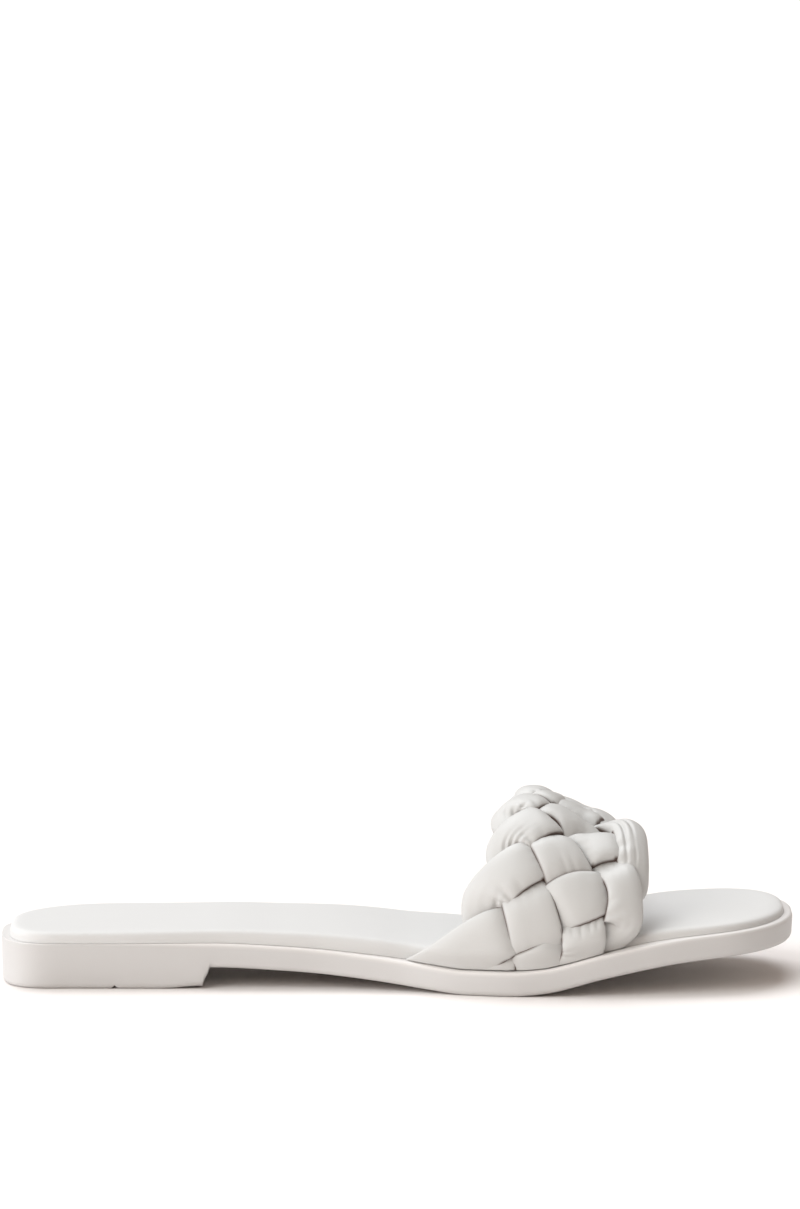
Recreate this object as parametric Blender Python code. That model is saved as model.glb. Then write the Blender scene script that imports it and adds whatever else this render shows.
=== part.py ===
"""Braided slide sandal for the right foot, heel at -X, toe at +X, outer side at -Y.

Three pieces: a moulded unit sole with its heel block, a padded insole, and an upper that is
one close plait of five padded strips, lasted to the rim of the sole on both sides.
"""
import math

import bmesh
import bpy
import numpy as np

# Driving dimensions, in millimetres
MM = 0.001
LENGTH = 256.0
SOLE_THICKNESS = 7.9
FIT_GAP = 0.3
TIP_FULLNESS = 0.996
HEEL_ROUND_OUTER = (22.0, 3.2)
HEEL_ROUND_INNER = (36.0, 2.1)
TOE_ROUND = (24.0, 2.4)
BREAST_FLOOR_X = -64.0
BREAST_TOP_X = -60.5
HEEL_FLAT_END_X = -76.0
BALL_FLAT = (22.0, 36.0)
BALL_END_X = 66.0
HEEL_LIFT_AT_BREAST = 0.9
HEEL_TAPER = 1.4
APEX_Y = 8.0
INSTEP_POWER = 2.35
WALL_AT_SOLE = 4.6
WALL_AT_TOP = 7.6
WALL_RISE = 0.32
CELL_DEPTH = 1.7
CELL_PROUD = 0.3

# Sole outline: x, middle of the width, half width before the ends are rounded
OUTLINE = np.array((
    (-128.0, 0.0, 30.0),
    (-95.0, 0.0, 30.0),
    (-60.0, 0.0, 29.2),
    (-30.0, -0.8, 29.6),
    (0.0, -1.0, 34.0),
    (20.0, -0.6, 40.5),
    (40.0, -0.2, 44.4),
    (60.0, 0.0, 44.9),
    (80.0, 0.8, 43.4),
    (100.0, 2.0, 40.0),
    (115.0, 3.0, 36.5),
    (128.0, 4.0, 34.0),
))

# Underside of the forepart and waist: x, height above the floor
WAIST = np.array((
    (-128.0, 6.9),
    (-60.0, 6.85),
    (-35.0, 5.8),
    (-9.0, 3.4),
    (10.0, 1.05),
    (BALL_FLAT[0], 0.0),
    (BALL_FLAT[1], 0.0),
    (46.0, 0.8),
    (BALL_END_X, 5.6),
    (92.0, 10.2),
    (128.0, 12.9),
))

# Rim of the sole left bare outside the insole, wider where the band comes up: x, breadth
LEDGE = np.array((
    (-128.0, 1.4),
    (-80.0, 1.6),
    (-40.0, 2.2),
    (-10.0, 2.5),
    (1.0, 6.0),
    (80.0, 6.0),
    (92.0, 2.7),
    (128.0, 3.0),
))

# Insole above the rim of the sole: x, outer side height, inner side height
INSOLE = np.array((
    (-128.0, 3.6, 3.6),
    (-80.0, 4.0, 4.2),
    (-40.0, 4.6, 5.4),
    (-12.0, 5.2, 6.6),
    (12.0, 5.0, 6.4),
    (40.0, 4.6, 5.2),
    (75.0, 3.4, 3.6),
    (128.0, 2.4, 2.4),
))

# Crest of the instep: x, height of the upper's outer face above the floor
CREST = np.array((
    (0.0, 60.0),
    (20.0, 60.5),
    (35.0, 60.5),
    (45.0, 60.0),
    (55.0, 57.5),
    (65.0, 54.0),
    (75.0, 51.0),
    (90.0, 47.0),
))

# Run of the plait, a row for every second crossing: step, middle x, x per column,
# way over the instep (0 outer rim, 1 crest, 2 inner rim), way per column
PLAIT = np.array((
    (-3.0, 36.0, 9.5, -0.28, -0.045),
    (-2.0, 40.5, 9.5, -0.13, -0.050),
    (0.0, 49.9, 9.8, 0.17, -0.065),
    (2.0, 58.0, 10.2, 0.46, -0.085),
    (4.0, 60.0, 10.0, 0.735, -0.075),
    (6.0, 58.5, 8.8, 1.00, 0.000),
    (8.0, 55.5, 9.8, 1.29, 0.060),
    (10.0, 53.0, 10.0, 1.62, 0.070),
    (12.0, 49.5, 9.8, 1.97, 0.060),
    (14.0, 45.0, 9.5, 2.30, 0.050),
))
HEEL_EDGE = 2.6
TOE_EDGE = 2.15
HEEL_SCALLOP = 0.14
TOE_SCALLOP = 0.12
FLARE = 9.0
FLARE_STEPS = 1.4
FLARE_FROM_COLUMN = 0.5

# Mesh densities
HEEL_STEPS = 9
SEAT_STEPS = 4
WAIST_STEPS = 9
BALL_FLAT_STEPS = 2
BALL_STEPS = 7
FOREPART_STEPS = 7
TOE_STEPS = 9
BAND_COLUMNS = 22
BAND_ROWS = 62
SECTION_SAMPLES = 90
STEP_SAMPLES = 700
SMOOTH_ANGLE = 40.0


def smooth_curve(xs, ys):
    """Monotone cubic through the points, so flat spots stay flat and nothing overshoots."""
    step = np.diff(xs)
    slope = np.diff(ys) / step
    tangent = np.zeros(len(xs))
    for i in range(1, len(xs) - 1):
        if slope[i - 1] * slope[i] > 0.0:
            before = 2.0 * step[i] + step[i - 1]
            after = step[i] + 2.0 * step[i - 1]
            tangent[i] = (before + after) / (before / slope[i - 1] + after / slope[i])
    tangent[0] = slope[0]
    tangent[-1] = slope[-1]

    def value(x):
        x = np.clip(x, xs[0], xs[-1])
        i = np.clip(np.searchsorted(xs, x, side="right") - 1, 0, len(xs) - 2)
        t = (x - xs[i]) / step[i]
        rest = 1.0 - t
        return (ys[i] * (1.0 + 2.0 * t) * rest ** 2 + tangent[i] * step[i] * t * rest ** 2
                + ys[i + 1] * t ** 2 * (3.0 - 2.0 * t) - tangent[i + 1] * step[i] * t ** 2 * rest)

    return value


def smooth_step(x, start, end):
    t = np.clip((x - start) / (end - start), 0.0, 1.0)
    return t * t * (3.0 - 2.0 * t)


middle_y = smooth_curve(OUTLINE[:, 0], OUTLINE[:, 1])
full_half_width = smooth_curve(OUTLINE[:, 0], OUTLINE[:, 2])
waist_z = smooth_curve(WAIST[:, 0], WAIST[:, 1])
ledge_breadth = smooth_curve(LEDGE[:, 0], LEDGE[:, 1])
insole_outer = smooth_curve(INSOLE[:, 0], INSOLE[:, 1])
insole_inner = smooth_curve(INSOLE[:, 0], INSOLE[:, 2])
crest_z = smooth_curve(CREST[:, 0], CREST[:, 1])
plait_x, plait_column_x, plait_way, plait_column_way = (
    smooth_curve(PLAIT[:, 0], PLAIT[:, column]) for column in (1, 2, 3, 4))


def rounding(from_tip, end_round):
    """Share of the full half width that a rounded end leaves at a distance from its tip."""
    length, power = end_round
    share = np.clip(1.0 - from_tip / length, 0.0, 1.0) * TIP_FULLNESS
    return (1.0 - share ** power) ** (1.0 / power)


def half_width(x, heel_round):
    """Half width of the sole at x on one side, with its rounded heel and toe."""
    return (full_half_width(x) * rounding(x + LENGTH / 2, heel_round)
            * rounding(LENGTH / 2 - x, TOE_ROUND))


def sole_top(x):
    return waist_z(x) + SOLE_THICKNESS


def sole_bottom(x):
    """Floor of the heel block, its breast, then the arched waist, the ball and the toe spring."""
    heel = HEEL_LIFT_AT_BREAST * smooth_step(x, HEEL_FLAT_END_X, BREAST_FLOOR_X)
    breast = np.clip((x - BREAST_FLOOR_X) / (BREAST_TOP_X - BREAST_FLOOR_X), 0.0, 1.0)
    return heel * (1.0 - breast) + waist_z(x) * breast


def stations():
    """Places along the sole, closer together where the ends turn and where the heel breaks off."""
    heel_round = HEEL_ROUND_INNER[0]
    heel_middle = heel_round - LENGTH / 2
    toe_round = TOE_ROUND[0]
    toe_middle = LENGTH / 2 - toe_round
    heel_turn = np.sin(np.linspace(math.pi / 2, 0.0, HEEL_STEPS + 1))
    toe_turn = np.sin(np.linspace(0.0, math.pi / 2, TOE_STEPS + 1))
    return np.concatenate((
        heel_middle - heel_round * heel_turn[:-1],
        np.linspace(heel_middle, BREAST_FLOOR_X, SEAT_STEPS, endpoint=False),
        [BREAST_FLOOR_X],
        np.linspace(BREAST_TOP_X, BALL_FLAT[0], WAIST_STEPS, endpoint=False),
        np.linspace(BALL_FLAT[0], BALL_FLAT[1], BALL_FLAT_STEPS, endpoint=False),
        np.linspace(BALL_FLAT[1], BALL_END_X, BALL_STEPS, endpoint=False),
        np.linspace(BALL_END_X, toe_middle, FOREPART_STEPS, endpoint=False),
        toe_middle + toe_round * toe_turn,
    ))


def outline_loop():
    """Outline of the sole as one loop of points, outer side first, with its outward normals."""
    xs = stations()
    outer = np.column_stack((xs, middle_y(xs) - half_width(xs, HEEL_ROUND_OUTER)))
    inner = np.column_stack((xs, middle_y(xs) + half_width(xs, HEEL_ROUND_INNER)))[::-1]
    loop = np.vstack((outer, inner))
    along = np.roll(loop, -1, axis=0) - np.roll(loop, 1, axis=0)
    along /= np.linalg.norm(along, axis=1)[:, None]
    return loop, np.column_stack((along[:, 1], -along[:, 0]))


def material(name, colour, roughness):
    """One plain finish for a piece."""
    finish = bpy.data.materials.new(name)
    finish.use_nodes = True
    shader = finish.node_tree.nodes["Principled BSDF"]
    shader.inputs["Base Color"].default_value = (*colour, 1.0)
    shader.inputs["Roughness"].default_value = roughness
    shader.inputs["Metallic"].default_value = 0.0
    return finish


def finish_object(name, bm, finish):
    """Turn a bmesh in millimetres into a named, smooth object in metres."""
    bmesh.ops.scale(bm, vec=(MM, MM, MM), verts=bm.verts)
    bmesh.ops.recalc_face_normals(bm, faces=bm.faces)
    mesh = bpy.data.meshes.new(name)
    bm.to_mesh(mesh)
    bm.free()
    mesh.shade_smooth()
    mesh.set_sharp_from_angle(angle=math.radians(SMOOTH_ANGLE))
    mesh.materials.append(finish)
    piece = bpy.data.objects.new(name, mesh)
    bpy.context.scene.collection.objects.link(piece)
    return piece


def skin_rings(rings):
    """Closed solid through a stack of outline rings, floored and topped by rungs across."""
    bm = bmesh.new()
    rows = [[bm.verts.new(point) for point in ring] for ring in rings]
    count = len(rows[0])
    for lower, upper in zip(rows, rows[1:]):
        for i in range(count):
            j = (i + 1) % count
            bm.faces.new((lower[i], lower[j], upper[j], upper[i]))
    for row in (rows[0], rows[-1]):
        for i in range(count // 2 - 1):
            bm.faces.new((row[i], row[i + 1], row[count - 2 - i], row[count - 1 - i]))
    return bm


def build_outsole():
    """Unit sole: flat floor under heel and ball, upright wall with eased edges, flat rim."""
    loop, normal = outline_loop()
    # Wall of the sole from floor to rim: inset, height from the floor edge, height from the rim
    wall_rows = ((2.2, 0.0, None), (0.7, 0.5, None), (0.2, 1.6, None), (0.0, None, -1.2),
                 (0.2, None, -0.4), (0.8, None, 0.0))
    rings = []
    for inset, from_floor, from_rim in wall_rows:
        point = loop - normal * inset
        x = loop[:, 0]
        if from_rim is None:
            heel_share = 1.0 - smooth_step(x, BREAST_FLOOR_X, BREAST_TOP_X)
            point = point - normal * (HEEL_TAPER * heel_share)[:, None]
            z = sole_bottom(x) + from_floor
        else:
            z = sole_top(x) + from_rim
        rings.append(np.column_stack((point, z)))
    finish = material("sole_bone_rubber", (0.68, 0.64, 0.61), 0.5)
    return finish_object("outsole", skin_rings(rings), finish)


def build_insole():
    """Padded footbed: rolled edge inside the rim, higher under the inner arch of the foot."""
    loop, normal = outline_loop()
    x = loop[:, 0]
    ledge = ledge_breadth(x)
    across = np.clip((loop[:, 1] - middle_y(x)) / full_half_width(x), -1.0, 1.0)
    height = insole_outer(x) + (insole_inner(x) - insole_outer(x)) * (across + 1.0) / 2.0
    # Rolled edge: inset from the widest line, share of the full height
    roll_rows = ((0.7, 0.0), (0.0, 0.2), (0.2, 0.5), (1.1, 0.77), (2.6, 0.92), (5.0, 1.0), (9.0, 1.04))
    rings = []
    for inset, share in roll_rows:
        point = loop - normal * (ledge + inset)[:, None]
        z = sole_top(x) + FIT_GAP + (height - FIT_GAP) * share
        rings.append(np.column_stack((point, z)))
    finish = material("insole_white_leather", (0.82, 0.81, 0.79), 0.55)
    return finish_object("insole", skin_rings(rings), finish)


def instep_section(x):
    """Section of the instep over the sole at x: way along its arc from rim to rim, y and z."""
    turn = np.linspace(0.0, math.pi / 2, SECTION_SAMPLES)
    reach = np.cos(turn) ** (2.0 / INSTEP_POWER)
    rise = np.sin(turn) ** (2.0 / INSTEP_POWER)
    z = sole_top(x) + (crest_z(x) - sole_top(x)) * rise
    outer_y = APEX_Y + (middle_y(x) - full_half_width(x) - APEX_Y) * reach
    inner_y = APEX_Y + (middle_y(x) + full_half_width(x) - APEX_Y) * reach
    way = []
    for y in (outer_y, inner_y):
        arc = np.concatenate(([0.0], np.cumsum(np.hypot(np.diff(y), np.diff(z)))))
        way.append(arc / arc[-1])
    ways = np.concatenate((way[0], 2.0 - way[1][-2::-1]))
    return ways, np.concatenate((outer_y, inner_y[-2::-1])), np.concatenate((z, z[-2::-1]))


def band_grid():
    """Outer face of the plaited band as a grid of points, with the plait's step and column there."""
    ways = np.linspace(0.0, 2.0, BAND_ROWS + 1)
    step = np.linspace(PLAIT[0, 0], PLAIT[-1, 0], STEP_SAMPLES)
    heel_edge = -HEEL_EDGE - HEEL_SCALLOP * np.cos(math.pi * step)
    toe_edge = TOE_EDGE - TOE_SCALLOP * np.cos(math.pi * step)
    points = np.zeros((BAND_ROWS + 1, BAND_COLUMNS + 1, 3))
    steps = np.zeros(points.shape[:2])
    columns = np.zeros(points.shape[:2])
    for c, share in enumerate(np.linspace(0.0, 1.0, BAND_COLUMNS + 1)):
        column = heel_edge + (toe_edge - heel_edge) * share
        way_there = plait_way(step) + column * plait_column_way(step)
        flare = np.clip(-step, 0.0, FLARE_STEPS) * np.clip(-column - FLARE_FROM_COLUMN, 0.0, 1.0)
        x_there = plait_x(step) + column * plait_column_x(step) - FLARE * flare
        steps[:, c] = np.interp(ways, way_there, step)
        columns[:, c] = np.interp(ways, way_there, column)
        for r, x in enumerate(np.interp(ways, way_there, x_there)):
            section_way, section_y, section_z = instep_section(x)
            points[r, c] = (x, np.interp(ways[r], section_way, section_y),
                            np.interp(ways[r], section_way, section_z))
    return ways, points, steps, columns


def grid_normals(points):
    """Outward normals of the band's face."""
    along = np.gradient(points, axis=0)
    across = np.gradient(points, axis=1)
    normal = np.cross(across, along)
    return normal / np.linalg.norm(normal, axis=2)[:, :, None]


def build_upper():
    """One hollow wall over the foot, pillowed outside where each strip crosses over its neighbour."""
    ways, points, steps, columns = band_grid()
    normal = grid_normals(points)
    if normal[BAND_ROWS // 2, BAND_COLUMNS // 2, 2] < 0.0:
        normal = -normal
    rise = smooth_step(1.0 - np.abs(ways - 1.0), 0.0, WALL_RISE)[:, None]
    first = np.cos(math.pi / 2 * (steps + columns + 0.5))
    second = np.cos(math.pi / 2 * (steps - columns - 0.5))
    pillow = np.sqrt(np.abs(first * second))
    proud = rise * (CELL_PROUD - CELL_DEPTH * (1.0 - pillow))
    wall = WALL_AT_SOLE + (WALL_AT_TOP - WALL_AT_SOLE) * rise
    outside = points + normal * proud[:, :, None]
    inside = points - normal * wall[:, :, None]
    for face in (outside, inside):
        for row in (0, -1):
            face[row, :, 2] = sole_top(face[row, :, 0]) + FIT_GAP
    bm = bmesh.new()
    outer = [[bm.verts.new(point) for point in row] for row in outside]
    inner = [[bm.verts.new(point) for point in row] for row in inside]
    for r in range(BAND_ROWS):
        for c in range(BAND_COLUMNS):
            bm.faces.new((outer[r][c], outer[r][c + 1], outer[r + 1][c + 1], outer[r + 1][c]))
            bm.faces.new((inner[r][c], inner[r + 1][c], inner[r + 1][c + 1], inner[r][c + 1]))
        for c in (0, BAND_COLUMNS):
            bm.faces.new((outer[r][c], outer[r + 1][c], inner[r + 1][c], inner[r][c]))
    for r in (0, BAND_ROWS):
        for c in range(BAND_COLUMNS):
            bm.faces.new((outer[r][c], outer[r][c + 1], inner[r][c + 1], inner[r][c]))
    finish = material("upper_bone_leather", (0.78, 0.76, 0.73), 0.45)
    return finish_object("braided_upper", bm, finish)


for old in list(bpy.data.objects):
    bpy.data.objects.remove(old)
build_outsole()
build_insole()
build_upper()
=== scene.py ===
"""Braided slide sandal for the right foot: how it looks, piece by piece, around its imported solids.

Sizes are in millimetres, in the solids' frame: heel at -X, toe at +X, outer side at -Y.
"""
import math

import bmesh
import bpy
import numpy as np
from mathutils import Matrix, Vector
from mathutils.bvhtree import BVHTree


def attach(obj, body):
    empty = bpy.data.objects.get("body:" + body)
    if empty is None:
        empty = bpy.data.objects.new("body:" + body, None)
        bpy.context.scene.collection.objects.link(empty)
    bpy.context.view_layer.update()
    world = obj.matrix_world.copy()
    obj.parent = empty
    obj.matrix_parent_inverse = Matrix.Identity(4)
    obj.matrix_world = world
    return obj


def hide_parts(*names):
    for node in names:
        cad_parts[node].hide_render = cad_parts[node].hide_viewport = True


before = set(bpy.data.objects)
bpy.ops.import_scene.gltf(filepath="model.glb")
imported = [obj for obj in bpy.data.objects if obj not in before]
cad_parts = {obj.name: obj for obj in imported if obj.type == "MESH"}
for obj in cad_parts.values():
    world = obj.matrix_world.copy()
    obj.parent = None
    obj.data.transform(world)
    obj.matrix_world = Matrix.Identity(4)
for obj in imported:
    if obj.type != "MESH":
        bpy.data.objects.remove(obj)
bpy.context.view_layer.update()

# Unit sole
# One moulding of light rubber, heel block and forepart together. Its upright wall has eased edges
# above and below, a painted highlight on the upper one, and a narrow rim is left outside the insole.
MM = 0.001
LENGTH = 256.0
SOLE_THICKNESS = 7.9
TIP_FULLNESS = 0.996
HEEL_ROUND_OUTER = (22.0, 3.2)
HEEL_ROUND_INNER = (36.0, 2.1)
TOE_ROUND = (24.0, 2.4)
HEEL_TAPER = 1.2
HEEL_TAPER_RISE = (-127.0, -105.0)
HEEL_TAPER_FALL = (-96.0, -61.0)
HEEL_FLAT_END_X = -76.0
HEEL_LIFT_AT_BREAST = 0.9
BREAST_FLOOR_X = -62.6
BREAST_TOP_X = -60.3
BREAST_EASE = 0.06
NOTCH_X = -90.8
NOTCH_HALF = 1.0
NOTCH_DEPTH = 0.9
NOTCH_REACH = 1.5
NOTCH_CLEAR = 1.5
RIM_EASE = (0.4, 1.35)
RIM_EASE_RISE = (-105.0, -50.0)
TIP_TURN = 0.92
HEEL_MARGIN = 2.0
BREAST_MARGIN = 1.0
FOREPART_MARGIN = 1.5
TIP_STATIONS = 24
NOTCH_STATIONS = 5
HEEL_STATIONS = 10
BREAST_STATIONS = 9
FOREPART_STATIONS = 76
SOLE_COLOURS = ((0.570, 0.566, 0.557), (0.604, 0.600, 0.591))
# Painted highlight: a paler colour along the upper edge of the wall
RIM_HIGHLIGHT_PAINT_COLOUR = (0.760, 0.735, 0.715)
SOLE_CLOUD_SCALE = 28.0
SOLE_GRAIN_SCALE = 2600.0
SOLE_ROUGHNESS = (0.44, 0.12)
SOLE_RELIEF = 0.12
SOLE_IOR = 1.45
CLOUD_DETAIL = 3.0
GRAIN_DISTANCE = 0.0002
# x, middle of the width, half width before the ends are rounded
OUTLINE = np.array((
    (-128.0, 0.0, 30.0),
    (-95.0, 0.0, 30.0),
    (-60.0, 0.0, 29.2),
    (-30.0, -0.8, 29.6),
    (0.0, -1.0, 34.0),
    (20.0, -0.6, 40.5),
    (40.0, -0.2, 44.4),
    (60.0, 0.0, 44.9),
    (80.0, 0.8, 43.4),
    (100.0, 2.0, 40.0),
    (115.0, 3.0, 36.5),
    (128.0, 4.0, 34.0),
))
# x, height of the underside above the floor
WAIST = np.array((
    (-128.0, 6.9),
    (-60.0, 6.85),
    (-35.0, 5.8),
    (-9.0, 3.4),
    (10.0, 1.05),
    (22.0, 0.0),
    (36.0, 0.0),
    (46.0, 0.8),
    (66.0, 5.6),
    (92.0, 10.2),
    (128.0, 12.9),
))
# x, share of the painted highlight along the upper edge
RIM_HIGHLIGHT_PAINT = np.array((
    (-105.0, 0.3),
    (-50.0, 1.0),
    (50.0, 1.0),
    (95.0, 0.6),
))
# inset, height above the floor edge or None, height from the rim or None, share of the painted highlight
SOLE_WALL = (
    (3.2, 0.0, None, 0.0),
    (1.6, 0.05, None, 0.0),
    (0.9, 0.28, None, 0.0),
    (0.45, 0.75, None, 0.0),
    (0.25, 1.5, None, 0.0),
    (0.23, 2.0, None, 0.0),
    (0.2, 2.8, None, 0.0),
    (0.1, None, -3.0, 0.0),
    (0.0, None, -1.3, 0.0),
    (0.02, None, -0.75, 0.25),
    (0.16, None, -0.3, 0.9),
    (0.42, None, -0.06, 1.0),
    (0.9, None, 0.0, 1.0),
    (4.0, None, 0.0, 1.0),
    (9.0, None, 0.0, 1.0),
)


def smooth_curve(xs, ys):
    """Monotone cubic through the points, so flat spots stay flat and nothing overshoots."""
    step = np.diff(xs)
    slope = np.diff(ys) / step
    tangent = np.zeros(len(xs))
    for i in range(1, len(xs) - 1):
        if slope[i - 1] * slope[i] > 0.0:
            before = 2.0 * step[i] + step[i - 1]
            after = step[i] + 2.0 * step[i - 1]
            tangent[i] = (before + after) / (before / slope[i - 1] + after / slope[i])
    tangent[0] = slope[0]
    tangent[-1] = slope[-1]

    def value(x):
        x = np.clip(x, xs[0], xs[-1])
        i = np.clip(np.searchsorted(xs, x, side="right") - 1, 0, len(xs) - 2)
        t = (x - xs[i]) / step[i]
        rest = 1.0 - t
        return (ys[i] * (1.0 + 2.0 * t) * rest ** 2 + tangent[i] * step[i] * t * rest ** 2
                + ys[i + 1] * t ** 2 * (3.0 - 2.0 * t) - tangent[i + 1] * step[i] * t ** 2 * rest)

    return value


def smooth_step(x, start, end):
    t = np.clip((x - start) / (end - start), 0.0, 1.0)
    return t * t * (3.0 - 2.0 * t)


middle_y = smooth_curve(OUTLINE[:, 0], OUTLINE[:, 1])
full_half_width = smooth_curve(OUTLINE[:, 0], OUTLINE[:, 2])
waist_z = smooth_curve(WAIST[:, 0], WAIST[:, 1])
rim_highlight_paint = smooth_curve(RIM_HIGHLIGHT_PAINT[:, 0], RIM_HIGHLIGHT_PAINT[:, 1])


def rounding(from_tip, end_round):
    """Share of the full half width that a rounded end leaves at a distance from its tip."""
    length, power = end_round
    share = np.clip(1.0 - from_tip / length, 0.0, 1.0) * TIP_FULLNESS
    return (1.0 - share ** power) ** (1.0 / power)


def half_width(x, heel_round):
    """Half width of the sole at x on one side, with its rounded heel and toe."""
    return (full_half_width(x) * rounding(x + LENGTH / 2, heel_round)
            * rounding(LENGTH / 2 - x, TOE_ROUND))


def sole_top(x):
    return waist_z(x) + SOLE_THICKNESS


def sole_bottom(x):
    """Heel floor, the eased breast, then waist, ball and toe spring."""
    heel = HEEL_LIFT_AT_BREAST * smooth_step(x, HEEL_FLAT_END_X, BREAST_FLOOR_X)
    breast = np.clip((x - BREAST_FLOOR_X) / (BREAST_TOP_X - BREAST_FLOOR_X), 0.0, 1.0)
    eased = breast + BREAST_EASE * np.sin(2.0 * math.pi * breast)
    return heel * (1.0 - eased) + waist_z(x) * eased


def sole_stations():
    """Places along the sole, closer together at both ends, at the notch and at the breast."""
    heel_round = HEEL_ROUND_INNER[0]
    heel_middle = heel_round - LENGTH / 2
    toe_round = TOE_ROUND[0]
    toe_middle = LENGTH / 2 - toe_round
    turn = np.sin(np.append(np.linspace(0.0, TIP_TURN, TIP_STATIONS), 1.0) * math.pi / 2)
    notch = NOTCH_X + NOTCH_HALF * np.linspace(-1.0, 1.0, NOTCH_STATIONS)
    heel = heel_middle - heel_round * turn
    heel = heel[np.abs(heel - NOTCH_X) > NOTCH_CLEAR * NOTCH_HALF]
    return np.sort(np.concatenate((
        heel,
        notch,
        np.linspace(heel_middle + HEEL_MARGIN, BREAST_FLOOR_X - BREAST_MARGIN, HEEL_STATIONS),
        np.linspace(BREAST_FLOOR_X, BREAST_TOP_X, BREAST_STATIONS),
        np.linspace(BREAST_TOP_X + FOREPART_MARGIN, toe_middle - FOREPART_MARGIN, FOREPART_STATIONS),
        toe_middle + toe_round * turn,
    )))


def outline_loop():
    """Outline of the sole as one loop of points, outer side first, with its outward normals."""
    xs = sole_stations()
    outer = np.column_stack((xs, middle_y(xs) - half_width(xs, HEEL_ROUND_OUTER)))
    inner = np.column_stack((xs, middle_y(xs) + half_width(xs, HEEL_ROUND_INNER)))[::-1]
    loop = np.vstack((outer, inner))
    along = np.roll(loop, -1, axis=0) - np.roll(loop, 1, axis=0)
    along /= np.linalg.norm(along, axis=1)[:, None]
    return loop, np.column_stack((along[:, 1], -along[:, 0]))


def barrel(points, rungs, note=None, shares=None):
    """Closed skin from an open barrel whose hoops take the places of each ring of points.

    The ends are closed by rungs from one side to the other, or by one face each, and the last end's
    rungs come back too. A share for each point can be noted on it under a name.
    """
    hoops, staves = points.shape[:2]
    bm = bmesh.new()
    noted = bm.verts.layers.float.new(note) if note else None
    bmesh.ops.create_cone(bm, cap_ends=False, segments=staves, radius1=1.0, radius2=1.0, depth=1.0)
    upright = [edge for edge in bm.edges if abs(edge.verts[0].co.z - edge.verts[1].co.z) > 0.5]
    bmesh.ops.subdivide_edges(bm, edges=upright, cuts=hoops - 2)
    place = {}
    for vert in bm.verts:
        hoop = round((vert.co.z + 0.5) * (hoops - 1))
        stave = round(math.atan2(vert.co.x, vert.co.y) / (2.0 * math.pi) * staves) % staves
        place[hoop, stave] = vert
    for (hoop, stave), vert in place.items():
        vert.co = Vector(points[hoop, stave]) * MM
        if note:
            vert[noted] = shares[hoop, stave]
    across = []
    for hoop in (0, hoops - 1):
        rim = [bm.edges.get((place[hoop, i], place[hoop, (i + 1) % staves])) for i in range(staves)]
        if rungs:
            half = staves // 2
            sides = rim[:half - 1] + rim[half:staves - 1]
            across = bmesh.ops.bridge_loops(bm, edges=sides)["edges"]
        else:
            bmesh.ops.contextual_create(bm, geom=rim)
    bmesh.ops.recalc_face_normals(bm, faces=bm.faces)
    return bm, across


def finish_piece(name, bm, finish, node):
    """Put a finished mesh in the scene as a piece that rides the shoe and stands for its solid."""
    mesh = bpy.data.meshes.new(name)
    bm.to_mesh(mesh)
    bm.free()
    mesh.shade_smooth()
    mesh.materials.append(finish)
    piece = bpy.data.objects.new(name, mesh)
    bpy.context.scene.collection.objects.link(piece)
    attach(piece, "root")
    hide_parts(node)
    return piece


class Shade:
    """A shader socket. Arithmetic on it adds Math nodes, and node() adds any other node."""

    def __init__(self, tree, socket=None):
        self.tree = tree
        self.socket = socket

    def node(self, kind, settings, inputs, output=0):
        made = self.tree.nodes.new(kind)
        for name, value in settings.items():
            setattr(made, name, value)
        for name, value in inputs.items():
            if isinstance(value, Shade):
                self.tree.links.new(value.socket, made.inputs[name])
            else:
                made.inputs[name].default_value = value
        return Shade(self.tree, made.outputs[output])

    def math(self, operation, *terms):
        return self.node("ShaderNodeMath", {"operation": operation}, dict(enumerate(terms)))

    def __add__(self, other):
        return self.math("ADD", self, other)

    __radd__ = __add__

    def __mul__(self, other):
        return self.math("MULTIPLY", self, other)

    __rmul__ = __mul__


def new_finish(name):
    """A material, its shader node, and a start for expressions in it."""
    finish = bpy.data.materials.new(name)
    finish.use_nodes = True
    return finish, finish.node_tree.nodes["Principled BSDF"], Shade(finish.node_tree)


def plug(shader, name, shade):
    shader.id_data.links.new(shade.socket, shader.inputs[name])


def cloudy(start, place, scale):
    """Soft uneven patches from 0 to 1."""
    return start.node("ShaderNodeTexNoise", {},
                      {"Vector": place, "Scale": scale, "Detail": CLOUD_DETAIL})


def rough_face(shader, start, height, strength):
    """Fine relief on a finish, from a pattern's height."""
    relief = {"Height": height, "Strength": strength, "Distance": GRAIN_DISTANCE}
    plug(shader, "Normal", start.node("ShaderNodeBump", {}, relief))


def blend_colours(start, share, low, high):
    """Colour between a first one, which may vary too, and a second, by a share from 0 to 1."""
    first = low if isinstance(low, Shade) else (*low, 1.0)
    return start.node("ShaderNodeMix", {"data_type": "RGBA"},
                      {"Factor": share, "A": first, "B": (*high, 1.0)}, "Result")


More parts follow.
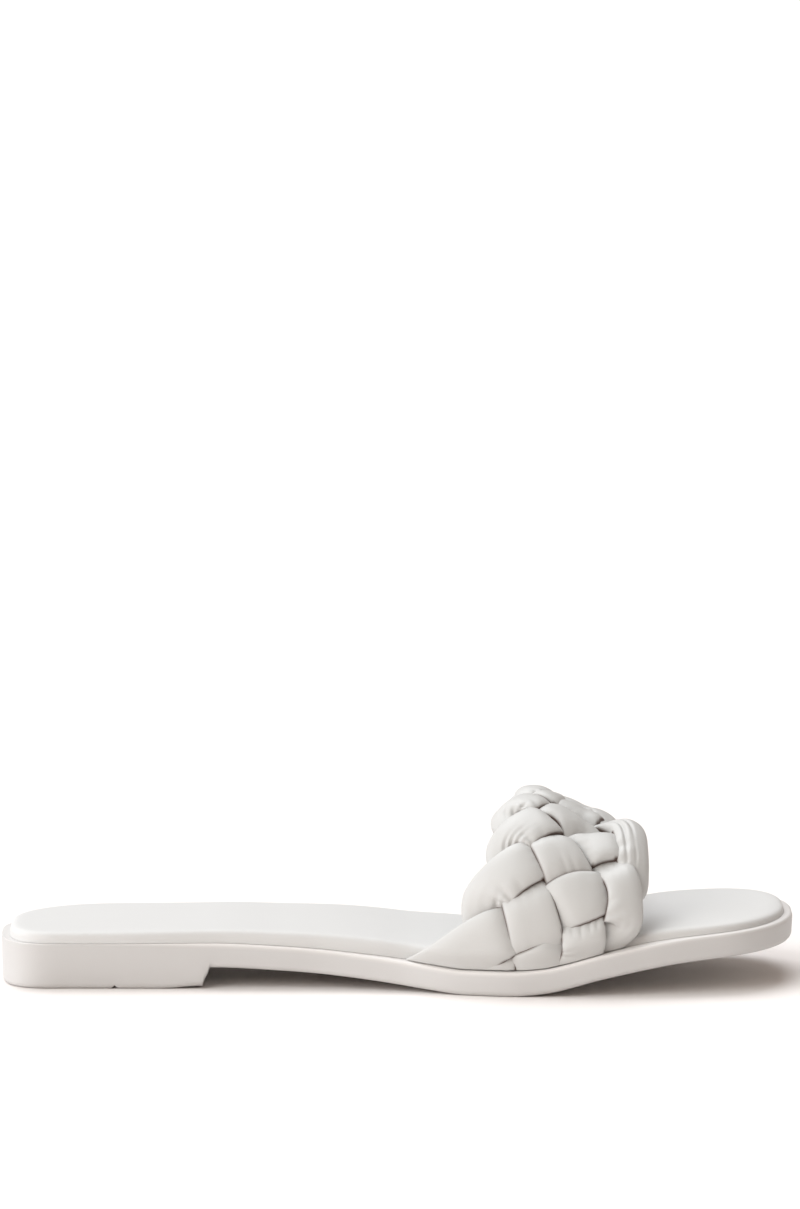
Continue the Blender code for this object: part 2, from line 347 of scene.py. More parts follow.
def sole_rubber():
    """Warm bone rubber: faint cloudy colour, a fine moulded grain, dull with a soft shine, and a highlight
    painted paler along the upper edge.
    """
    finish, shader, start = new_finish("sole_rubber")
    place = start.node("ShaderNodeTexCoord", {}, {}, "Object")
    cloud = cloudy(start, place, SOLE_CLOUD_SCALE)
    grain = start.node("ShaderNodeTexNoise", {}, {"Vector": place, "Scale": SOLE_GRAIN_SCALE})
    # Painted highlight: the upper edge is coloured paler by the share stored on the wall
    edge = start.node("ShaderNodeAttribute", {"attribute_name": "painted_rim_highlight"}, {}, "Fac")
    face = blend_colours(start, cloud, *SOLE_COLOURS)
    plug(shader, "Base Color", blend_colours(start, edge, face, RIM_HIGHLIGHT_PAINT_COLOUR))
    plug(shader, "Roughness", SOLE_ROUGHNESS[0] + SOLE_ROUGHNESS[1] * cloud)
    rough_face(shader, start, grain, SOLE_RELIEF)
    shader.inputs["IOR"].default_value = SOLE_IOR
    return finish


def sole_rings():
    loop, normal = outline_loop()
    x = loop[:, 0]
    taper = HEEL_TAPER * smooth_step(x, *HEEL_TAPER_RISE) * (1.0 - smooth_step(x, *HEEL_TAPER_FALL))
    notch = NOTCH_DEPTH * np.clip(1.0 - np.abs(x - NOTCH_X) / NOTCH_HALF, 0.0, 1.0)
    ease = RIM_EASE[0] + (RIM_EASE[1] - RIM_EASE[0]) * smooth_step(x, *RIM_EASE_RISE)
    rings = []
    shares = []
    for inset, from_floor, from_rim, painted_highlight in SOLE_WALL:
        if from_rim is None:
            point = loop - normal * (inset + taper)[:, None]
            z = sole_bottom(x) + from_floor + notch * max(0.0, 1.0 - from_floor / NOTCH_REACH)
        else:
            point = loop - normal * (inset * ease)[:, None]
            z = sole_top(x) + from_rim * ease
        rings.append(np.column_stack((point, z)))
        # share of the painted highlight on this ring
        shares.append(painted_highlight * rim_highlight_paint(x))
    return np.array(rings), np.array(shares)


wall_points, wall_highlight_shares = sole_rings()
sole_skin, _ = barrel(wall_points, rungs=True, note="painted_rim_highlight", shares=wall_highlight_shares)
finish_piece("sole_unit", sole_skin, sole_rubber(), "outsole")

# Padded insole
# A footbed of foam wrapped in thin white leather, its edge rolled down to the rim of the sole. It
# is cemented on, stands higher under the inner arch, and is drawn in where the band comes up.
FIT_GAP = 0.06
SEAT_CROWN = 0.4
SEAT_CROWN_RISE = (8.0, 40.0)
SEAT_CUTS = 9
INSOLE_COLOURS = ((0.645, 0.648, 0.640), (0.673, 0.676, 0.668))
INSOLE_CLOUD_SCALE = 22.0
PORE_SCALE = 1500.0
INSOLE_ROUGHNESS = (0.58, 0.12)
INSOLE_GLOSS = 0.35
LEATHER_RELIEF = 0.10
# x, breadth of the rim left bare outside the insole
LEDGE = np.array((
    (-128.0, 2.8),
    (-121.0, 1.9),
    (-110.0, 1.1),
    (-100.0, 0.8),
    (-80.0, 1.0),
    (-60.0, 1.7),
    (-40.0, 2.2),
    (-22.0, 2.7),
    (-8.0, 3.9),
    (5.0, 5.6),
    (14.0, 6.0),
    (78.0, 6.0),
    (90.0, 4.2),
    (102.0, 3.0),
    (128.0, 3.0),
))
# x, height of the outer side above the rim, height of the inner side
INSOLE = np.array((
    (-128.0, 3.6, 3.6),
    (-80.0, 4.0, 4.2),
    (-40.0, 4.6, 5.4),
    (-12.0, 5.2, 6.6),
    (12.0, 5.0, 6.4),
    (40.0, 4.6, 5.2),
    (75.0, 3.4, 3.6),
    (128.0, 2.4, 2.4),
))
# inset from the widest line, share of the full height
INSOLE_ROLL = (
    (3.5, 0.0),
    (-0.3, 0.0),
    (-0.22, 0.05),
    (-0.08, 0.14),
    (0.0, 0.26),
    (0.02, 0.4),
    (0.1, 0.53),
    (0.26, 0.65),
    (0.52, 0.76),
    (0.92, 0.85),
    (1.48, 0.92),
    (2.25, 0.967),
    (3.3, 0.991),
    (4.8, 1.0),
)

ledge_breadth = smooth_curve(LEDGE[:, 0], LEDGE[:, 1])
insole_outer = smooth_curve(INSOLE[:, 0], INSOLE[:, 1])
insole_inner = smooth_curve(INSOLE[:, 0], INSOLE[:, 2])


def insole_rings():
    loop, normal = outline_loop()
    x = loop[:, 0]
    ledge = ledge_breadth(x)
    across = np.clip((loop[:, 1] - middle_y(x)) / full_half_width(x), -1.0, 1.0)
    height = insole_outer(x) + (insole_inner(x) - insole_outer(x)) * (across + 1.0) / 2.0
    rings = []
    for inset, share in INSOLE_ROLL:
        point = loop - normal * (ledge + inset)[:, None]
        z = sole_top(x) + FIT_GAP + (height - FIT_GAP) * share
        rings.append(np.column_stack((point, z)))
    return np.array(rings)


def crown_seat(bm, rungs):
    """Split the rungs across the top and let them rise a little between the edges."""
    inset = INSOLE_ROLL[-1][0] + LEDGE[0, 1]
    split = bmesh.ops.subdivide_edges(bm, edges=rungs, cuts=SEAT_CUTS)
    for vert in split["geom_inner"]:
        if isinstance(vert, bmesh.types.BMVert):
            x = vert.co.x / MM
            outer = middle_y(x) - half_width(x, HEEL_ROUND_OUTER) + inset
            inner = middle_y(x) + half_width(x, HEEL_ROUND_INNER) - inset
            across = np.clip((vert.co.y / MM - outer) / (inner - outer), 0.0, 1.0)
            from_tip = smooth_step(LENGTH / 2 - abs(x), *SEAT_CROWN_RISE)
            vert.co.z += SEAT_CROWN * MM * 4.0 * across * (1.0 - across) * from_tip
    return bm


def grainy(start, place, scale):
    """Cells of a leather's grain, deepest in their middles."""
    return start.node("ShaderNodeTexVoronoi", {}, {"Vector": place, "Scale": scale}, "Distance")


def insole_leather():
    """Smooth white lining leather: very fine pores, faint warm mottling, a dull satin face."""
    finish, shader, start = new_finish("insole_leather")
    place = start.node("ShaderNodeTexCoord", {}, {}, "Object")
    cloud = cloudy(start, place, INSOLE_CLOUD_SCALE)
    pores = grainy(start, place, PORE_SCALE)
    plug(shader, "Base Color", blend_colours(start, cloud, *INSOLE_COLOURS))
    plug(shader, "Roughness", INSOLE_ROUGHNESS[0] + INSOLE_ROUGHNESS[1] * cloud)
    rough_face(shader, start, pores, LEATHER_RELIEF)
    shader.inputs["Specular IOR Level"].default_value = INSOLE_GLOSS
    return finish


insole_skin = crown_seat(*barrel(insole_rings(), rungs=True))
insole = finish_piece("insole_pad", insole_skin, insole_leather(), "insole")

# Plaited upper
# Five strips of soft bone leather, each folded round a flat padding, plaited over one and under one
# into a wide band. The band is pulled over the last, and its ends are lasted between rim and insole.
APEX_Y = 8.0
INSTEP_POWER = 2.35
# first value, last value and count along each side of the instep's chart
CHART_X = (-12.0, 98.0, 111)
CHART_WAY = (-0.12, 2.12, 225)
ARCH_SAMPLES = 400
APEX_BLEND = (0.8, 1.2)
# x, height of the upper's outer face above the floor
CREST = np.array((
    (0.0, 55.0),
    (20.0, 58.0),
    (30.0, 59.6),
    (38.0, 60.5),
    (45.0, 60.0),
    (52.0, 57.6),
    (57.0, 55.2),
    (62.0, 53.0),
    (67.0, 52.8),
    (74.0, 53.4),
    (80.0, 52.4),
    (90.0, 48.0),
))
# step of the plait, then x and way over the instep of its crossing on the heel side, of its crossing
# on the toe side, and of the strip that turns back at an edge
CROSSINGS = np.array((
    (-1, 28.5, 0.128, 46.0, -0.008, 57.6, -0.030),
    (0, 43.0, 0.195, 59.6, 0.066, 27.4, 0.275),
    (1, 37.6, 0.415, 57.6, 0.275, 71.6, 0.105),
    (2, 51.9, 0.482, 73.0, 0.276, 35.0, 0.530),
    (3, 44.8, 0.655, 65.0, 0.568, 76.4, 0.430),
    (4, 54.5, 0.765, 75.0, 0.715, 36.2, 0.742),
    (5, 42.0, 0.838, 60.0, 0.955, 66.5, 0.920),
    (6, 51.2, 0.990, 65.0, 1.060, 44.2, 0.960),
    (7, 45.2, 1.085, 59.0, 1.150, 67.5, 1.170),
    (8, 51.0, 1.230, 65.2, 1.280, 42.8, 1.190),
    (9, 43.4, 1.330, 58.4, 1.410, 67.6, 1.450),
    (10, 49.0, 1.510, 65.2, 1.610, 39.0, 1.420),
    (11, 39.6, 1.610, 57.1, 1.730, 68.0, 1.800),
    (12, 45.2, 1.820, 64.3, 1.940, 34.2, 1.740),
    (13, 35.6, 1.930, 54.3, 2.050, 66.0, 2.110),
))
# strip and step of a hidden pass that bends away from its crossing, with its x and way
HIDDEN_BENDS = {(0, 2): (72.8, 0.320), (1, 2): (52.3, 0.500), (1, 4): (75.4, 0.590)}
# places in a row of crossings for each tenth of a strip's run from side to side and back
CROSSING_ON_RUN = (3, 3, 5, 3, 3, 1, 1, 5, 1, 1)
# for each strip, x and way of two places below the outer rim
STRIP_STARTS = (
    ((0.0, -0.185), (13.5, -0.035)),
    ((28.0, -0.200), (28.0, -0.040)),
    ((50.0, -0.200), (47.5, -0.060)),
    ((55.0, -0.240), (56.0, -0.130)),
    ((21.5, -0.150), (33.0, -0.070)),
)
START_STEPS = (-3.0, -2.0)
END_STEP = 15.0
END_WAY = 0.3
LINE_SAMPLES = 1800
LINE_EASE = 0.16
EASE_REACH = 3.0
EASE_SAMPLES = 121
# step, half width of a strip, half thickness
STRIP_SIZES = np.array((
    (-3.0, 10.0, 2.6),
    (-1.4, 9.4, 2.6),
    (-0.4, 8.8, 2.6),
    (0.4, 8.6, 2.6),
    (2.0, 8.2, 2.6),
    (4.0, 7.5, 2.7),
    (6.0, 7.0, 2.8),
    (8.0, 7.0, 2.8),
    (10.0, 7.6, 2.7),
    (12.0, 8.4, 2.6),
    (15.0, 8.7, 2.6),
))
# where a strip is pulled flatter and wider, or gathered: strip, step, half length in steps, share of width
SPREADS = (
    (0, 1.0, 0.55, 1.14),
    (4, 2.0, 0.60, 0.86),
    (1, 3.0, 0.50, 0.96),
    (4, 4.0, 0.60, 0.84),
)
# way over the instep, x of the band's heel edge, of its toe edge
BAND = np.array((
    (0.0, 10.0, 80.0),
    (0.3, 19.5, 83.0),
    (0.5, 26.0, 83.0),
    (0.75, 29.5, 86.0),
    (0.95, 37.0, 71.0),
    (1.2, 36.0, 71.0),
    (1.45, 31.5, 75.0),
    (1.75, 26.0, 76.5),
    (2.0, 20.0, 76.0),
))
HEEL_EDGE_ROLL = 2.6
TOE_EDGE_ROLL = 4.0
EDGE_ROLL_RISE = (0.05, 0.3)
STRIPS = 5
STRIP_LIFT = 2.2
TOE_EDGE_PINCH = 0.18
TOE_PINCH_STEP = 4.6
TOE_PINCH_FADE = (0.5, 1.6)
STRIP_PROUD = 0.3
STRIP_SQUARENESS = 3.1
SECTION_FLATNESS = 0.33
SECTION_SAMPLES = 4000
LEVEL_STEEPNESS = 1.4
HELD_BELOW = (-1.0, -2.0, -1.0, 0.0, -2.0)
HELD_ABOVE = 12.0
RIM_PINCH = 0.55
RIM_RISE = 0.11
TUCK_DEPTH = 2.4
TUCK_RISE = 0.085
RIM_CLEARANCE = 0.004
SHEAR_STEPS = 2.6
STRIP_HOOPS = 480
STRIP_STAVES = 72
# steps along one strip from its first crossing over, and its place there, over 1 or under -1
STRIP_TURNS = np.array(((0, 1), (1, -1), (2, 1), (3, -1), (5, 1), (6, -1), (7, 1), (8, -1), (10, 1)))
PLAIT_REPEAT = 10
# steps along one strip to the turn at each edge of the band, and the strip's inner side there
EDGE_TURNS = ((4.0, -1.0), (9.0, 1.0))
PLEAT_LEAN = 0.12
# pleats on the inner side of each turn: steps from the turn, half breadth in steps, how far across, depth
TURN_PLEATS = (
    (0.12, 0.09, 1.2, 0.75),
    (0.44, 0.09, 1.3, 0.70),
    (0.78, 0.09, 0.8, 0.40),
)
# gathers along the strips, most where one comes out from under another: strip, step, half length in
# steps, place across from -1 to 1, half breadth, depth
GATHERS = (
    (2, 2.00, 0.30, -0.16, 0.070, 0.55),
    (2, 1.98, 0.40, 0.10, 0.080, 1.00),
    (2, 2.04, 0.40, 0.36, 0.075, 0.95),
    (2, 2.00, 0.30, 0.62, 0.070, 0.65),
    (1, 0.00, 0.22, 0.38, 0.075, 0.80),
    (1, 0.06, 0.15, 0.64, 0.070, 0.45),
    (3, 0.45, 0.16, -0.48, 0.080, 0.35),
    (3, 0.42, 0.20, -0.10, 0.080, 0.40),
    (3, 0.45, 0.18, 0.30, 0.080, 0.38),
    (3, 0.42, 0.15, 0.62, 0.080, 0.30),
    (3, 1.62, 0.30, -0.05, 0.100, 0.25),
    (3, 1.58, 0.25, 0.30, 0.100, 0.20),
    (0, 3.85, 0.75, -0.42, 0.100, 0.90),
    (0, 4.10, 0.45, 0.04, 0.090, 0.55),
    (0, 3.20, 0.22, 0.10, 0.080, 0.40),
    (3, 3.95, 0.28, 0.10, 0.080, 0.85),
    (3, 4.35, 0.22, 0.45, 0.080, 0.80),
    (3, 4.05, 0.25, -0.28, 0.070, 0.50),
    (1, 5.10, 0.55, -0.40, 0.100, 0.60),
    (4, 5.95, 0.28, 0.08, 0.080, 0.80),
    (4, 6.05, 0.24, 0.42, 0.075, 0.60),
    (2, 7.30, 0.50, -0.42, 0.100, 0.80),
    (2, 7.10, 0.35, 0.06, 0.090, 0.50),
    (0, 7.95, 0.28, 0.14, 0.080, 0.80),
    (0, 8.05, 0.25, 0.46, 0.075, 0.65),
    (3, 9.40, 0.50, -0.38, 0.100, 0.80),
    (1, 9.95, 0.28, 0.10, 0.080, 0.80),
    (1, 10.02, 0.24, 0.40, 0.075, 0.60),
    (4, 11.35, 0.50, -0.40, 0.100, 0.70),
    (2, 11.95, 0.28, 0.20, 0.080, 0.70),
    (2, 12.00, 0.24, 0.50, 0.075, 0.50),
)
RIPPLE_DEPTH = 0.10
RIPPLES_ACROSS = 2.3
RIPPLE_SHIFT_BY_STEP = 0.37
RIPPLE_SHIFT_BY_STRIP = 0.21
# Painted shade: where a strip's edge lies close to another strip its colour is darkened to brown
CREASE_GAP = (0.6, 1.7)
CREASE_LIFT = (0.42, 0.70)
CREASE_BACK_LIFT = (-0.9, -0.1)
CREASE_BACK_SHARE = 0.2
STRIP_COLOURS = ((0.552, 0.555, 0.543), (0.588, 0.591, 0.579))
CREASE_SHADE_COLOUR = (0.095, 0.062, 0.050)
STRIP_CLOUD_SCALE = 35.0
STRIP_GRAIN_SCALE = 1100.0
STRIP_ROUGHNESS = (0.42, 0.12)
STRIP_GLOSS = 0.38

crest_z = smooth_curve(CREST[:, 0], CREST[:, 1])
strip_half_width = smooth_curve(STRIP_SIZES[:, 0], STRIP_SIZES[:, 1])
strip_half_thick = smooth_curve(STRIP_SIZES[:, 0], STRIP_SIZES[:, 2])
band_heel_edge = smooth_curve(BAND[:, 0], BAND[:, 1])
band_toe_edge = smooth_curve(BAND[:, 0], BAND[:, 2])


class Instep:
    """Outer face of the upper on the last, as a fine chart over x and the way from rim to rim."""

    def __init__(self):
        self.x = np.linspace(*CHART_X)
        self.way = np.linspace(*CHART_WAY)
        turn = np.linspace(0.0, math.pi / 2, ARCH_SAMPLES)
        reach = np.cos(turn) ** (2.0 / INSTEP_POWER)
        rise = np.sin(turn) ** (2.0 / INSTEP_POWER)
        self.point = np.zeros((len(self.x), len(self.way), 3))
        self.arc = np.zeros((len(self.x), 2))
        for i, x in enumerate(self.x):
            z = sole_top(x) + (crest_z(x) - sole_top(x)) * rise
            ways = []
            sides = []
            for side in (-1.0, 1.0):
                y = APEX_Y + (middle_y(x) + side * full_half_width(x) - APEX_Y) * reach
                length = np.concatenate(([0.0], np.cumsum(np.hypot(np.diff(y), np.diff(z)))))
                self.arc[i, int(side > 0)] = length[-1]
                ways.append(length / length[-1])
                sides.append(y)
            way = np.concatenate((ways[0], 2.0 - ways[1][-2::-1]))
            y = np.concatenate((sides[0], sides[1][-2::-1]))
            height = np.concatenate((z, z[-2::-1]))
            below = np.clip(-self.way, 0.0, None) * self.arc[i, 0]
            below += np.clip(self.way - 2.0, 0.0, None) * self.arc[i, 1]
            self.point[i, :, 0] = x
            self.point[i, :, 1] = np.interp(self.way, way, y)
            self.point[i, :, 2] = np.interp(self.way, way, height) - below
        along_x = np.gradient(self.point, axis=0)
        along_way = np.gradient(self.point, axis=1)
        normal = np.cross(along_x, along_way)
        self.normal = normal / np.linalg.norm(normal, axis=2)[:, :, None]

    def read(self, chart, x, way):
        """Value of a chart at each x and way, between its nearest four entries."""
        column = np.clip((x - self.x[0]) / (self.x[1] - self.x[0]), 0.0, len(self.x) - 1.001)
        row = np.clip((way - self.way[0]) / (self.way[1] - self.way[0]), 0.0, len(self.way) - 1.001)
        i = column.astype(int)
        j = row.astype(int)
        u = (column - i)[..., None]
        v = (row - j)[..., None]
        return ((chart[i, j] * (1.0 - u) + chart[i + 1, j] * u) * (1.0 - v)
                + (chart[i, j + 1] * (1.0 - u) + chart[i + 1, j + 1] * u) * v)

    def arc_length(self, x, way):
        """Length of the arch from rim to top at each x, on the side where the way is."""
        outer = np.interp(x, self.x, self.arc[:, 0])
        inner = np.interp(x, self.x, self.arc[:, 1])
        share = smooth_step(way, *APEX_BLEND)
        return outer * (1.0 - share) + inner * share

    def place(self, x, way, height):
        """Points a height above the face."""
        normal = self.read(self.normal, x, way)
        normal = normal / np.linalg.norm(normal, axis=-1)[..., None]
        return self.read(self.point, x, way) + normal * height[..., None]


instep = Instep()


def strip_line(strip, step):
    """Middle of a strip on the instep: x and way at each step of the plait."""
    knots = [(at, *place) for at, place in zip(START_STEPS, STRIP_STARTS[strip])]
    for row in CROSSINGS:
        run = int(row[0] - 1 - 2 * strip) % PLAIT_REPEAT
        column = CROSSING_ON_RUN[run]
        knots.append((row[0], *HIDDEN_BENDS.get((strip, row[0]), row[column:column + 2])))
    knots.append((END_STEP, knots[-1][1], knots[-1][2] + END_WAY))
    knots = np.array(knots)
    reach = np.linspace(-EASE_REACH, EASE_REACH, EASE_SAMPLES)
    window = np.exp(-0.5 * reach ** 2)
    window /= window.sum()
    line = []
    for column in (1, 2):
        curve = smooth_curve(knots[:, 0], knots[:, column])
        line.append(sum(share * curve(step + shift) for share, shift in zip(window, reach * LINE_EASE)))
    return line


def strip_level(strip, step):
    """Over 1 or under -1 along a strip, level on each crossing and easing between them."""
    held = np.clip(step, HELD_BELOW[strip], HELD_ABOVE)
    phase = np.mod(held + 1.0 - 2.0 * strip, PLAIT_REPEAT)
    i = np.clip(np.searchsorted(STRIP_TURNS[:, 0], phase, side="right") - 1, 0, len(STRIP_TURNS) - 2)
    start = STRIP_TURNS[i, 0]
    end = STRIP_TURNS[i + 1, 0]
    swing = np.cos(math.pi * (phase - start) / (end - start))
    return STRIP_TURNS[i, 1] * np.tanh(LEVEL_STEEPNESS * swing) / math.tanh(LEVEL_STEEPNESS)


def steps_from(step, strip, turn):
    """Steps to the nearest of a strip's like turns, before it negative."""
    half = PLAIT_REPEAT / 2
    return np.mod(step + 1.0 - 2.0 * strip - turn + half, PLAIT_REPEAT) - half


def strip_folds(strip, step, across):
    """Depth of the pleats on the inner side of a strip's turns, and of ripples where it dives."""
    depth = np.zeros(np.broadcast(step, across).shape)
    for turn, inner in EDGE_TURNS:
        from_turn = steps_from(step, strip, turn)
        for place, half, reach, deep in TURN_PLEATS:
            lean = PLEAT_LEAN * (1.0 - inner * across)
            trough = np.exp(-((from_turn - place * (1.0 + lean)) / half) ** 2)
            depth = depth + deep * trough * smooth_step(inner * across, 1.0 - reach, 1.0)
    for gathered, place, reach, fold, half, deep in GATHERS:
        if gathered == strip:
            depth = depth + deep * np.exp(-((step - place) / reach) ** 2 - ((across - fold) / half) ** 2)
    dive = 1.0 - strip_level(strip, step) ** 2
    shift = RIPPLE_SHIFT_BY_STEP * np.round(step) + RIPPLE_SHIFT_BY_STRIP * strip
    wave = np.cos(2.0 * math.pi * (RIPPLES_ACROSS * across + shift))
    return depth + RIPPLE_DEPTH * dive * (0.5 + 0.5 * wave)


def strip_section():
    """Points evenly round a strip's section: across from -1 to 1, and lift from -1 to 1."""
    turn = np.linspace(0.0, 2.0 * math.pi, SECTION_SAMPLES)
    across = np.sign(np.cos(turn)) * np.abs(np.cos(turn)) ** (2.0 / STRIP_SQUARENESS)
    lift = np.sign(np.sin(turn)) * np.abs(np.sin(turn)) ** (2.0 / STRIP_SQUARENESS)
    length = np.hypot(np.diff(across), np.diff(lift) * SECTION_FLATNESS)
    length = np.concatenate(([0.0], np.cumsum(length)))
    even = np.linspace(0.0, length[-1], STRIP_STAVES, endpoint=False)
    return np.interp(even, length, across), np.interp(even, length, lift)


def strip_points(strip, across, lift):
    """Skin of one strip: hoops along it, cut off along the rim at both ends."""
    step = np.linspace(START_STEPS[0], END_STEP, LINE_SAMPLES)
    x, way = strip_line(strip, step)
    arc = instep.arc_length(x, way)
    run_x = np.gradient(x, step)
    run_arc = np.gradient(way, step) * arc
    run = np.hypot(run_x, run_arc)
    from_pinch = np.abs(steps_from(step, strip, TOE_PINCH_STEP))
    narrow = 1.0 - TOE_EDGE_PINCH * (1.0 - smooth_step(from_pinch, *TOE_PINCH_FADE))
    for spread, place, reach, share in SPREADS:
        if spread == strip:
            narrow = narrow * (1.0 + (share - 1.0) * np.exp(-((step - place) / reach) ** 2))
    side_x = run_arc / run * strip_half_width(step) * narrow
    side_way = -run_x / run / arc * strip_half_width(step) * narrow
    middle = len(step) // 2
    first = np.zeros(STRIP_STAVES)
    last = np.zeros(STRIP_STAVES)
    for j, v in enumerate(across):
        edge_way = way + v * side_way
        first[j] = step[np.nonzero(edge_way[:middle] < RIM_CLEARANCE)[0][-1] + 1]
        last[j] = step[middle + np.nonzero(edge_way[middle:] > 2.0 - RIM_CLEARANCE)[0][0] - 1]
    at = first.mean() + (last.mean() - first.mean()) * np.linspace(0.0, 1.0, STRIP_HOOPS)[:, None]
    from_start = at - first.mean()
    from_end = last.mean() - at
    at = at + (first - first.mean()) * (1.0 - smooth_step(from_start, 0.0, SHEAR_STEPS))
    at = at + (last - last.mean()) * (1.0 - smooth_step(from_end, 0.0, SHEAR_STEPS))
    x_there = np.interp(at, step, x) + across * np.interp(at, step, side_x)
    way_there = np.interp(at, step, way) + across * np.interp(at, step, side_way)
    from_rim = np.minimum(way_there, 2.0 - way_there)
    free = RIM_PINCH + (1.0 - RIM_PINCH) * smooth_step(from_rim, 0.0, RIM_RISE)
    thick = strip_half_thick(at) * free
    height = STRIP_PROUD - thick + free * STRIP_LIFT * (strip_level(strip, at) - 1.0) + thick * lift
    height = height - strip_folds(strip, at, across) * np.clip(lift, 0.0, 1.0) * free
    height = height - TUCK_DEPTH * (1.0 - smooth_step(from_rim, 0.0, TUCK_RISE))
    heel_edge = band_heel_edge(way_there)
    toe_edge = band_toe_edge(way_there)
    off_middle = np.clip((2.0 * x_there - heel_edge - toe_edge) / (toe_edge - heel_edge), -1.0, 1.0)
    roll = np.where(off_middle < 0.0, HEEL_EDGE_ROLL, TOE_EDGE_ROLL) * off_middle ** 4
    height = height - roll * smooth_step(from_rim, *EDGE_ROLL_RISE)
    return instep.place(x_there, way_there, height)


def mark_crease_shade(pieces):
    """Write on each strip the painted shade where its edge is pressed against another strip, from 0 to 1.
    """
    trees = []
    for piece in pieces:
        bm = bmesh.new()
        bm.from_mesh(piece.data)
        trees.append(BVHTree.FromBMesh(bm))
        bm.free()
    for piece in pieces:
        others = [tree for tree, other in zip(trees, pieces) if other is not piece]
        painted_crease_shade = piece.data.attributes["painted_crease_shade"].data
        for vert in piece.data.vertices:
            if painted_crease_shade[vert.index].value > 0.0:
                gap = min(tree.find_nearest(vert.co)[3] for tree in others)
                painted_crease_shade[vert.index].value *= 1.0 - smooth_step(gap / MM, *CREASE_GAP)


def strip_leather():
    """Soft bone leather: fine grain, faint mottling, and brown painted shade where it is pressed into the
    creases.
    """
    finish, shader, start = new_finish("strip_leather")
    place = start.node("ShaderNodeTexCoord", {}, {}, "Object")
    cloud = cloudy(start, place, STRIP_CLOUD_SCALE)
    grain = grainy(start, place, STRIP_GRAIN_SCALE)
    # Painted shade in the creases between strips
    painted_crease_shade = start.node("ShaderNodeAttribute", {"attribute_name": "painted_crease_shade"}, {}, "Fac")
    face = blend_colours(start, cloud, *STRIP_COLOURS)
    plug(shader, "Base Color", blend_colours(start, painted_crease_shade, face, CREASE_SHADE_COLOUR))
    plug(shader, "Roughness", STRIP_ROUGHNESS[0] + STRIP_ROUGHNESS[1] * cloud)
    rough_face(shader, start, grain, LEATHER_RELIEF)
    shader.inputs["Specular IOR Level"].default_value = STRIP_GLOSS
    return finish


strip_finish = strip_leather()
across, lift = strip_section()
# Painted shade along the edges of each strip's section, weaker on its back
crease_shade_edge = 1.0 - smooth_step(lift, *CREASE_LIFT)
crease_shade_edge *= CREASE_BACK_SHARE + (1.0 - CREASE_BACK_SHARE) * smooth_step(lift, *CREASE_BACK_LIFT)
crease_shade_shares = np.broadcast_to(crease_shade_edge, (STRIP_HOOPS, STRIP_STAVES))
strips = []
for strip in range(STRIPS):
    skin, _ = barrel(strip_points(strip, across, lift), rungs=False, note="painted_crease_shade", shares=crease_shade_shares)
    piece = finish_piece(f"upper_strip_{strip + 1}", skin, strip_finish, "braided_upper")
    strips.append(piece)
mark_crease_shade(strips)

# Floor and light
# A plain pale floor under broad soft lights: one overhead and a little behind, two from the heel side,
# and a weak warm one low from the front, with a little warm light from all round.
FLOOR_HALF = 30.0
FLOOR_COLOUR = (0.90, 0.865, 0.845)
FLOOR_ROUGHNESS = 0.9
FLOOR_GLOSS = 0.1
# name, strength, colour, direction it shines in, breadth in degrees
LIGHTS = (
    ("overhead_light", 2.10, (0.955, 0.99, 1.03), (0.14, -0.44, -0.89), 50.0),
    ("heel_light", 1.15, (0.95, 0.99, 1.06), (0.96, 0.10, -0.26), 40.0),
    ("corner_light", 1.31, (0.93, 1.02, 1.05), (0.55, 0.55, -0.63), 50.0),
    ("front_light", 0.56, (1.0, 0.70, 0.54), (0.68, 0.68, -0.26), 50.0),
)
ROOM_COLOUR = (0.340, 0.288, 0.252)


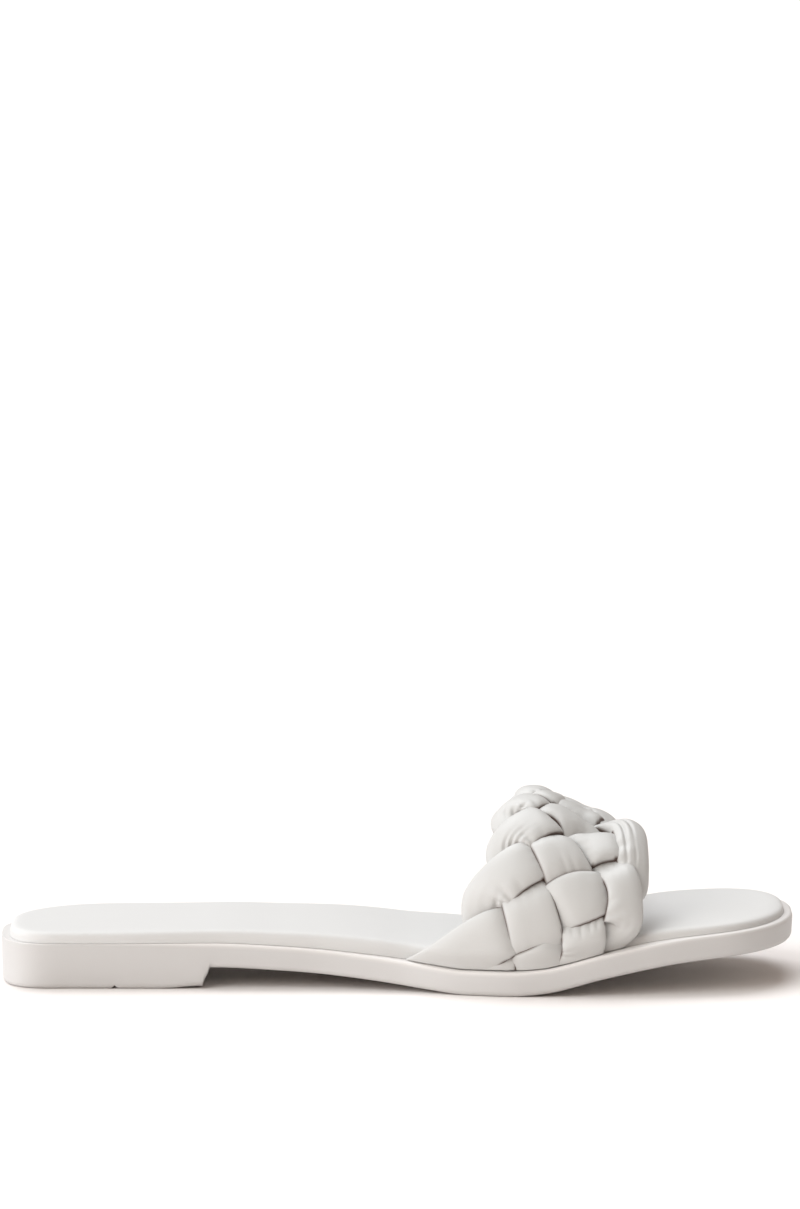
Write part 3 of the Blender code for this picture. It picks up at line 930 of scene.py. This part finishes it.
def pale_floor():
    bm = bmesh.new()
    bmesh.ops.create_grid(bm, x_segments=1, y_segments=1, size=FLOOR_HALF)
    mesh = bpy.data.meshes.new("floor")
    bm.to_mesh(mesh)
    bm.free()
    finish, shader, _ = new_finish("floor_white")
    shader.inputs["Base Color"].default_value = (*FLOOR_COLOUR, 1.0)
    shader.inputs["Roughness"].default_value = FLOOR_ROUGHNESS
    shader.inputs["Specular IOR Level"].default_value = FLOOR_GLOSS
    mesh.materials.append(finish)
    floor = bpy.data.objects.new("floor", mesh)
    bpy.context.scene.collection.objects.link(floor)


def add_light(name, strength, colour, toward, breadth):
    """A soft light that shines along a direction."""
    lamp = bpy.data.lights.new(name, "SUN")
    lamp.energy = strength
    lamp.color = colour
    lamp.angle = math.radians(breadth)
    light = bpy.data.objects.new(name, lamp)
    light.rotation_euler = Vector(toward).to_track_quat("-Z", "Y").to_euler()
    bpy.context.scene.collection.objects.link(light)


pale_floor()
for row in LIGHTS:
    add_light(*row)
world = bpy.data.worlds.new("studio")
world.use_nodes = True
world.node_tree.nodes["Background"].inputs["Color"].default_value = (*ROOM_COLOUR, 1.0)
bpy.context.scene.world = world
bpy.context.scene.view_settings.view_transform = "Standard"

# Camera
# A long lens at the photograph's angle, side on and a little above, with the shoe low in the frame.
IMAGE_WIDTH = 800.0
IMAGE_HEIGHT = 1209.0
ORIGIN_PIXEL = (397.5, 973.5)
PIXEL_SIZE = 0.325
ELEVATION = math.radians(10.0)
DISTANCE = 2500.0
SENSOR = 36.0
VIEW_DEPTH = 100.0

rise = math.atan((ORIGIN_PIXEL[1] - IMAGE_HEIGHT / 2) * PIXEL_SIZE / DISTANCE)
turn = math.atan((ORIGIN_PIXEL[0] - IMAGE_WIDTH / 2) * PIXEL_SIZE / DISTANCE)
view = bpy.data.cameras.new("camera")
view.sensor_fit = "HORIZONTAL"
view.sensor_width = SENSOR
view.lens = DISTANCE / (PIXEL_SIZE * IMAGE_WIDTH) * SENSOR
view.clip_end = VIEW_DEPTH
camera = bpy.data.objects.new("camera", view)
camera.location = Vector((0.0, -math.cos(ELEVATION), math.sin(ELEVATION))) * DISTANCE * MM
camera.rotation_euler = (math.pi / 2 - ELEVATION + rise, 0.0, turn)
bpy.context.scene.collection.objects.link(camera)
bpy.context.scene.camera = camera
